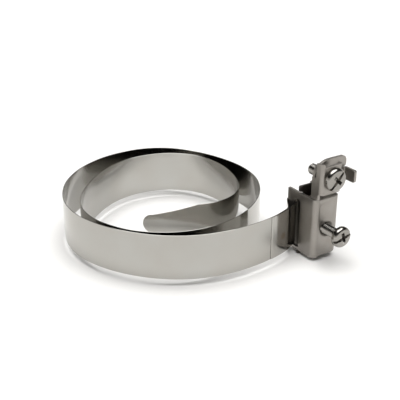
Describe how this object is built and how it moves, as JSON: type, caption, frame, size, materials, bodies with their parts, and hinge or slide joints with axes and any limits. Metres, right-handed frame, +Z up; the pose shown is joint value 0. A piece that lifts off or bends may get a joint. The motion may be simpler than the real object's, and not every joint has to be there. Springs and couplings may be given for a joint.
{
  "type": "earthing pipe clamp",
  "caption": "Band type earthing clamp: a coiled stainless strap hooked to a folded metal head with a pressure plate, a tension screw and a screw terminal for the earth wire.",
  "frame": {"origin": "centre of the bounding box at the height of the lowest point, the foot of the pressure plate", "axes": "+Z up, along the width of the strap; +Y back from the front of the head towards the pipe; +X to the side of the terminal's arm"},
  "size_m": [0.1316, 0.15, 0.0569],
  "materials": {
    "strap": "cold rolled stainless strip",
    "head": "satin plated steel sheet",
    "plate": "satin plated steel sheet",
    "screws": "bright plated steel"
  },
  "bodies": {
    "clamp_frame": {"band": "strap", "head_bracket": "head"},
    "pressure": {"pressure_plate": "plate"},
    "tension": {"tension_screw": "screws"},
    "saddle": {"terminal_saddle": "head"},
    "terminal": {"terminal_screw": "screws"}
  },
  "joints": [
    {"name": "plate_slide", "type": "slide", "parent": "clamp_frame", "child": "pressure", "axis": [0, 1, 0], "range_m": [0, 0.0085]},
    {"name": "tension_screw_turn", "type": "hinge", "parent": "pressure", "child": "tension", "pos_m": [0.04888, -0.06112, 0.01805], "axis": [0, 1, 0], "range_deg": [0, 3061]},
    {"name": "saddle_slide", "type": "slide", "parent": "clamp_frame", "child": "saddle", "axis": [0, 1, 0], "range_m": [0, 0.0045]},
    {"name": "terminal_screw_turn", "type": "hinge", "parent": "saddle", "child": "terminal", "pos_m": [0.04928, -0.06112, 0.04785], "axis": [0, 1, 0], "range_deg": [0, 1621]}
  ],
  "couplings": [
    {"joint": "tension_screw_turn", "follows": "plate_slide", "rad_per_m": 6283.2},
    {"joint": "terminal_screw_turn", "follows": "saddle_slide", "rad_per_m": 6283.2}
  ]
}
